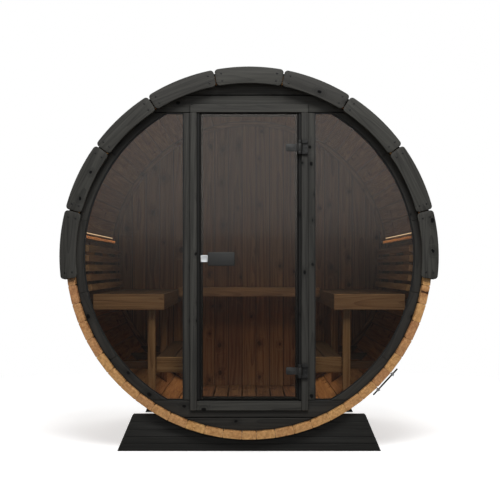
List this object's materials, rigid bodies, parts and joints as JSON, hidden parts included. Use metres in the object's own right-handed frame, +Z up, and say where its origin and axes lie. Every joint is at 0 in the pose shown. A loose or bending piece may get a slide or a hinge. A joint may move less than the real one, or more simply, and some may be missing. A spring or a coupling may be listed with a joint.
{
  "type": "barrel sauna with a glazed front",
  "caption": "Round timber barrel sauna on two cradles, black arched fascia, tinted glass front with a hinged glass door, slatted benches and backrests inside.",
  "frame": {"origin": "on the ground under the middle of the barrel", "axes": "+X to the right seen from the door, +Y from the door to the rear wall, +Z up"},
  "size_m": [2.06, 1.85, 2.0998],
  "materials": {
    "natural_wood": "planed heat-treated timber, light brown with visible grain",
    "black_wood": "black stained spruce, low sheen, knots showing through",
    "bench_wood": "planed timber, warm brown",
    "roof_felt": "black bitumen shingles with mineral grit",
    "band_steel": "bare stainless steel band",
    "latch_steel": "satin stainless steel",
    "black_metal": "satin black powder coat",
    "bronze_glass": "bronze tinted safety glass",
    "warm_light": "opal cover of a warm light strip"
  },
  "bodies": {
    "sauna": {"staves_lower_right": "natural_wood", "staves_right": "natural_wood", "staves_upper_right": "natural_wood", "staves_upper_left": "natural_wood", "staves_left": "natural_wood", "staves_lower_left": "natural_wood", "band_front": "band_steel", "band_rear": "band_steel", "tension_rods": "band_steel", "cradle_front": "black_wood", "cradle_rear": "black_wood", "fascia_front": "black_wood", "fascia_rear": "black_wood", "roof_cover": "roof_felt", "front_rim_left": "black_wood", "front_rim_right": "black_wood", "front_wall_top": "black_wood", "front_wall_bottom": "black_wood", "front_post_left": "black_wood", "front_post_right": "black_wood", "window_left": "bronze_glass", "window_right": "bronze_glass", "door_casing": "black_wood", "door_jamb": "black_wood", "door_stop": "black_wood", "hinge_brackets": "black_metal", "rear_wall": "black_wood", "rear_trim_ring": "natural_wood", "floor_slats": "natural_wood", "floor_bearers": "natural_wood", "bench_left": "bench_wood", "bench_right": "bench_wood", "bench_frame_left": "bench_wood", "bench_frame_right": "bench_wood", "step_left": "bench_wood", "step_right": "bench_wood", "rear_bench": "bench_wood", "backrest_left": "bench_wood", "backrest_right": "bench_wood", "light_rails": "natural_wood", "light_strips": "warm_light"},
    "door": {"door_glass": "bronze_glass", "door_handle": "black_metal", "door_latch": "latch_steel", "hinge_leaves": "black_metal"}
  },
  "joints": [
    {"name": "door_hinge", "type": "hinge", "parent": "sauna", "child": "door", "pos_m": [0.277, -0.877, 1.07], "axis": [0, 0, 1], "range_deg": [0, 110]}
  ]
}
